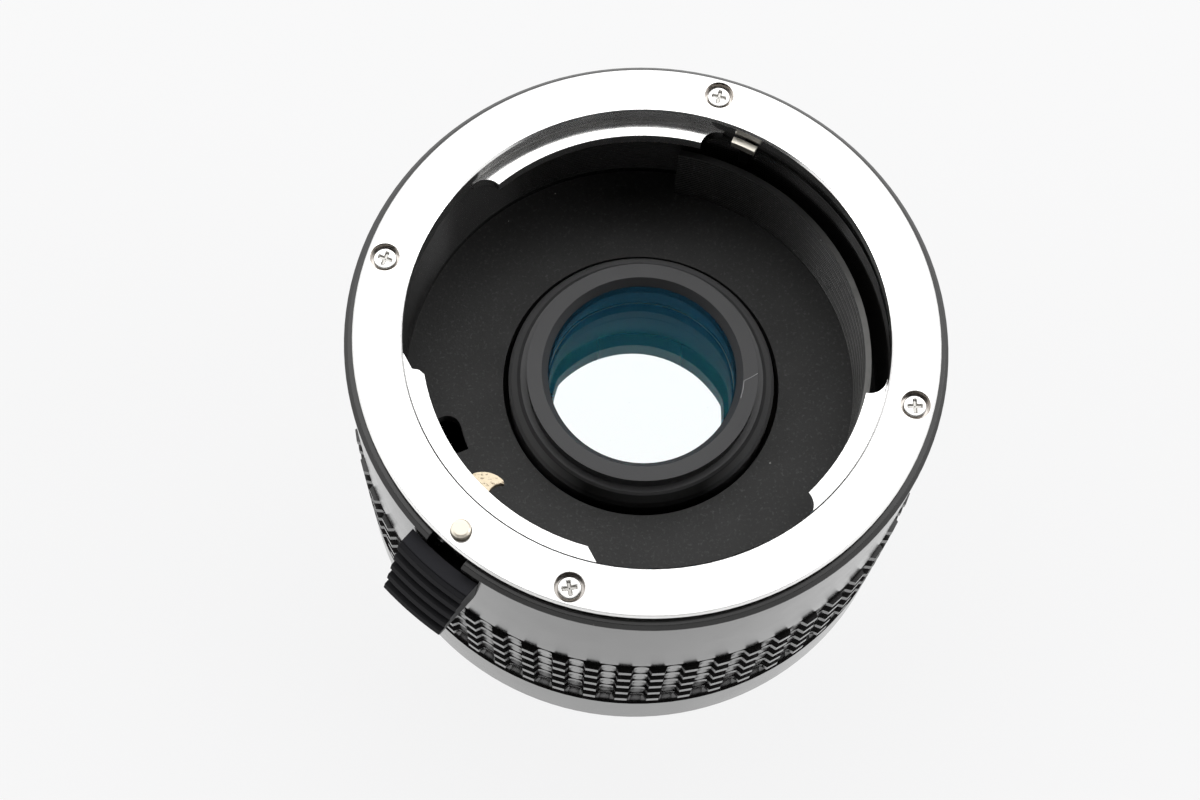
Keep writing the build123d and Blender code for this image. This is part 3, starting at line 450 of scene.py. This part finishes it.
def lens_piece(name, node, top, bottom, top_bulge, bottom_bulge, clear_r, finish):
    """Glass element with smooth curved faces; a negative bulge is hollow."""
    sides = 128
    turn = [2 * math.pi * i / sides for i in range(sides)]
    shares = [0.0, 0.2, 0.4, 0.55, 0.7, 0.8, 0.9, 1.0]
    outline = [(clear_r * s, top + top_bulge * (1 - s * s)) for s in shares]
    outline += [(GLASS_R, top), (GLASS_R, bottom)]
    outline += [(clear_r * s, bottom - bottom_bulge * (1 - s * s)) for s in reversed(shares)]
    bm = bmesh.new()
    rings = []
    for r, z in outline:
        rings.append([bm.verts.new((0, 0, z * MM))] if r == 0 else ring_of(bm, r, z, turn))
    for lower, upper in zip(rings, rings[1:]):
        bridge(bm, lower, upper)
    piece = piece_from(name, bm, finish, node, sharp=25.0)
    piece.data.materials.append(cell_black)
    for face in piece.data.polygons:
        if abs(face.normal.z) < 0.5:
            face.material_index = 1


# Name, node, top and bottom of the rim, bulges of the two faces, clear radius and finish
for lens in (
    ("front_lens", "element_1", 28.95, 26.485, 0.59, 0.0, 9.75, front_glass),
    ("second_lens", "element_2", 23.527, 20.58, -0.15, 0.0, 9.575, inner_glass),
    ("third_lens", "element_3", 20.56, 16.625, 0.0, 0.15, 9.575, inner_glass),
    ("rear_lens", "element_4", 10.709, 4.3, -0.15, 0.0, 9.575, inner_glass),
):
    lens_piece(*lens)


def grip_piece():
    """Grip sleeve whose ridges run across hollow flutes."""
    columns, land, first = 56, 0.38, math.radians(253.4)
    inner_r, floor_r, crest_r, hollow_r, flare_r = 28.91, 29.52, 30.23, 29.6, 29.95
    bottom, top, pitch, height, count, face = 8.0, 24.5, 3.12, 1.53, 5, 1.0
    # Across a flute: share of its width, and share of the way from its hollow to the crest
    across = ((0.0, 1.0), (0.15, 0.13), (0.24, 0.02), (0.37, -0.05),
              (0.5, -0.07), (0.63, -0.05), (0.76, 0.02), (0.85, 0.13))
    turn, rise = [], []
    for column in range(columns):
        start = first + 2 * math.pi * column / columns
        turn.append(start - land * math.pi / columns)
        rise.append(crest_r)
        for share, level in across:
            turn.append(start + (land / 2 + share * (1 - land)) * 2 * math.pi / columns)
            rise.append(hollow_r + level * (crest_r - hollow_r))
    bm = bmesh.new()

    def level_at(radii, z):
        points = zip(radii, turn)
        return [bm.verts.new((r * MM * math.cos(a), r * MM * math.sin(a), z * MM)) for r, a in points]

    floor = [floor_r] * len(turn)
    levels = [level_at([inner_r] * len(turn), bottom), level_at([flare_r] * len(turn), bottom)]
    for i in range(count):
        high = (bottom + top) / 2 + (i - (count - 1) / 2) * pitch + height / 2
        levels += [level_at(floor, high - height), level_at(rise, high - face), level_at(rise, high),
                   level_at(floor, high)]
    levels += [level_at(floor, top), level_at([inner_r] * len(turn), top)]
    for lower, upper in zip(levels, levels[1:] + levels[:1]):
        bridge(bm, lower, upper)
    piece_from("fluted_grip", bm, grip_black, "grip_ring", sharp=30.0)


def screw_heads():
    """The four screws of the front ring, with a cross recess and a rounded rim."""
    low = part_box("front_mount_screws")[0][2] / MM
    top, seat, head_r, shank_r = 40.65, 40.05, 1.13, 0.75
    flat_rings, ring_step, sides = 16, 0.06, 96
    slot_half, slot_wall, slot_reach, slot_end, slot_depth, centre_depth = 0.2, 0.07, 0.74, 0.1, 0.26, 0.4
    radii = [ring_step * i for i in range(1, flat_rings + 1)] + [1.02, 1.09, head_r]
    drops = [0.0] * flat_rings + [0.01, 0.04, 0.12]
    bm = bmesh.new()
    for i, cross_turn in enumerate((-15.0, -21.0, 9.0, 0.0)):
        place = math.radians(SCREW_ANGLE + 90 * i)
        x0, y0 = SCREW_CIRCLE_R * math.cos(place), SCREW_CIRCLE_R * math.sin(place)
        spin = math.radians(cross_turn)

        def ring(r, z, recess=False):
            points = []
            for k in range(sides):
                a = 2 * math.pi * k / sides
                u, v = abs(r * math.cos(a - spin)), abs(r * math.sin(a - spin))
                depth = 0.0
                if recess:
                    side = (slot_half - min(u, v)) / slot_wall
                    end = (slot_reach - max(u, v)) / slot_end
                    depth = slot_depth * max(0.0, min(1.0, side)) * max(0.0, min(1.0, end))
                points.append(bm.verts.new(((x0 + r * math.cos(a)) * MM, (y0 + r * math.sin(a)) * MM,
                                            (z - depth) * MM)))
            return points

        rings = [[bm.verts.new((x0 * MM, y0 * MM, (top - centre_depth) * MM))]]
        rings += [ring(r, top - drop, recess=True) for r, drop in zip(radii, drops)]
        rings += [ring(head_r, seat), ring(shank_r, seat), ring(shank_r, low)]
        rings.append([bm.verts.new((x0 * MM, y0 * MM, low * MM))])
        for lower, upper in zip(rings, rings[1:]):
            bridge(bm, lower, upper)
    piece_from("cross_head_screws", bm, screw_steel, "front_mount_screws", sharp=35.0)


def lock_coil():
    """Spring under the lock plate as a coil."""
    low, high = (corner / MM for corner in map(Vector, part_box("lock_spring")))
    wire_r, coils, steps, sides, stroke = 0.16, 6, 24, 8, 2.0
    middle = (low + high) / 2
    coil_r = (high.x - low.x) / 2 - wire_r
    bm = bmesh.new()
    rings = []
    for i in range(coils * steps + 1):
        a = 2 * math.pi * i / steps
        z = low.z + wire_r + (high.z - low.z - 2 * wire_r) * i / (coils * steps)
        ring = []
        for k in range(sides):
            b = 2 * math.pi * k / sides
            r = coil_r + wire_r * math.cos(b)
            ring.append(bm.verts.new(Vector((middle.x + r * math.cos(a), middle.y + r * math.sin(a),
                                             z + wire_r * math.sin(b))) * MM))
        rings.append(ring)
    for first, second in zip(rings, rings[1:]):
        bridge(bm, first, second)
    bm.faces.new(list(reversed(rings[0])))
    bm.faces.new(rings[-1])
    coil = piece_from("lock_coil", bm, steel, "lock_spring", sharp=40.0)
    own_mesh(coil)


def cell_edges():
    """Thin bright edges in the lens cell, seen through the glass."""
    width, sides = 0.09, 96
    for name, r, z, finish in (("cemented_edge", 9.66, 20.57, bronze), ("spacer_edge", 9.5, 14.6, steel)):
        turn = [2 * math.pi * i / sides for i in range(sides)]
        bm = bmesh.new()
        bridge(bm, ring_of(bm, r, z, turn), ring_of(bm, r + width, z, turn))
        mesh = bpy.data.meshes.new(name)
        bm.to_mesh(mesh)
        bm.free()
        mesh.materials.append(finish)
        edge = bpy.data.objects.new(name, mesh)
        bpy.context.scene.collection.objects.link(edge)
        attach(edge, "base")


def rim_scratch():
    """Fine bright scratch across the rim of the glass."""
    curve = bpy.data.curves.new("rim_scratch", "CURVE")
    curve.dimensions = "3D"
    line_r, rim_z = 0.028, 29.9
    curve.bevel_depth = line_r * MM
    line = curve.splines.new("POLY")
    places = ((11.85, -0.35), (11.2, -0.75), (10.42, -1.15), (10.3, -2.0), (10.02, -3.05))
    line.points.add(len(places) - 1)
    for point, (x, y) in zip(line.points, places):
        point.co = (x * MM, y * MM, rim_z * MM, 1)
    curve.materials.append(surface("scratched_metal", (0.55, 0.55, 0.56), 0.3, 0.5, grain=0.3))
    piece = bpy.data.objects.new("rim_scratch", curve)
    bpy.context.scene.collection.objects.link(piece)
    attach(piece, "base")


grip_piece()
screw_heads()
lock_coil()
cell_edges()
rim_scratch()


# Floor and light
def floor_material():
    """Pale floor with a faint shadow, and white where it is mirrored or seen through the glass."""
    plain_share = 0.88
    mat, tree, out = new_material("pale_floor")
    path = add(tree, "ShaderNodeLightPath")
    matte = add(tree, "ShaderNodeBsdfDiffuse", inputs={"Color": (0.93, 0.932, 0.935, 1)})
    white = add(tree, "ShaderNodeEmission", inputs={"Color": (1, 1, 1, 1), "Strength": 1.0})
    pale = add(tree, "ShaderNodeEmission", inputs={"Color": (0.965, 0.965, 0.968, 1), "Strength": 1.0})
    seen = math_node(tree, "MULTIPLY", (path, "Is Camera Ray"), plain_share)
    first = add(tree, "ShaderNodeMixShader")
    feed(tree, seen, first, 0)
    join(tree, matte, 0, first, 1)
    join(tree, pale, 0, first, 2)
    mirrored = math_node(tree, "MAXIMUM", (path, "Is Transmission Ray"), (path, "Is Glossy Ray"))
    last = add(tree, "ShaderNodeMixShader")
    feed(tree, mirrored, last, 0)
    join(tree, first, 0, last, 1)
    join(tree, white, 0, last, 2)
    return finish_material(mat, tree, out, last)


bpy.ops.mesh.primitive_plane_add(size=3.0, location=(0, 0, (FLOOR_Z - FLOOR_GAP) * MM))
floor = bpy.context.object
floor.name = "studio_floor"
floor.data.materials.append(floor_material())

scene = bpy.context.scene


def studio_world():
    """White where it is seen, and dimmer as a light."""
    light_level = 0.38
    world = bpy.data.worlds.new("studio_world")
    world.use_nodes = True
    tree = world.node_tree
    back = tree.nodes["Background"]
    back.inputs["Color"].default_value = (1.0, 1.0, 1.0, 1)
    path = add(tree, "ShaderNodeLightPath")
    direct = math_node(tree, "MAXIMUM", (path, "Is Camera Ray"), (path, "Is Glossy Ray"))
    direct = math_node(tree, "MAXIMUM", direct, (path, "Is Transmission Ray"))
    level = remap(tree, direct, 0.0, 1.0, light_level, 1.0)
    feed(tree, level, back, "Strength")
    return world


scene.world = studio_world()


def softbox(name, place, size, power):
    """Soft lamp that faces the object, with its place and size in metres."""
    aim = (0, 0, 0.02)
    data = bpy.data.lights.new(name, "AREA")
    data.shape = "RECTANGLE"
    data.size, data.size_y = size
    data.energy = power
    lamp = bpy.data.objects.new(name, data)
    scene.collection.objects.link(lamp)
    lamp.location = place
    away = Vector(place) - Vector(aim)
    lamp.rotation_euler = away.to_track_quat("Z", "Y").to_euler()


softbox("key_softbox", (0.02, 0.71, 0.71), (2.0, 1.2), 9.2)
softbox("fill_softbox", (0.75, 0.02, 0.40), (0.5, 0.4), 2.2)
softbox("left_softbox", (-0.75, 0.02, 0.40), (0.5, 0.4), 1.5)


def dark_flag():
    """Dark card above and behind the camera, for the dark tones in the mirrors that face it."""
    bpy.ops.mesh.primitive_plane_add(size=1.0, location=(-0.02, -0.30, 0.45))
    card = bpy.context.object
    card.name = "dark_flag"
    card.scale = (1.1, 0.8, 1.0)
    card.rotation_euler = (math.radians(34), 0, 0)
    card.visible_camera = False
    card.data.materials.append(surface("flag_cloth", (0.03, 0.03, 0.03), 0.0, 0.9, grain=0.3))


dark_flag()

# Camera, fitted to the rings and bands of the photograph
FOCAL_LENGTH = 61.68
CAMERA_TURN_X = -19.88
CAMERA_TURN_Y = 1.56
FACE_IN_FIT = (4.86, 7.11, -209.16)
MM_PER_FIT_UNIT = 0.9615

cam_data = bpy.data.cameras.new("photo_camera")
cam_data.sensor_width = 36.0
cam_data.lens = FOCAL_LENGTH
cam_data.clip_start = 0.01
cam = bpy.data.objects.new("photo_camera", cam_data)
scene.collection.objects.link(cam)
turn_x = Matrix.Rotation(math.radians(CAMERA_TURN_X), 3, "X")
turn_y = Matrix.Rotation(math.radians(CAMERA_TURN_Y), 3, "Y")
to_world = (turn_y @ turn_x).transposed()
face_seen = Vector(FACE_IN_FIT) * MM_PER_FIT_UNIT * MM
face = Vector((0, 0, FRONT_FACE_Z * MM))
cam.matrix_world = Matrix.Translation(to_world @ -face_seen + face) @ to_world.to_4x4()
scene.camera = cam

scene.view_settings.view_transform = "Standard"
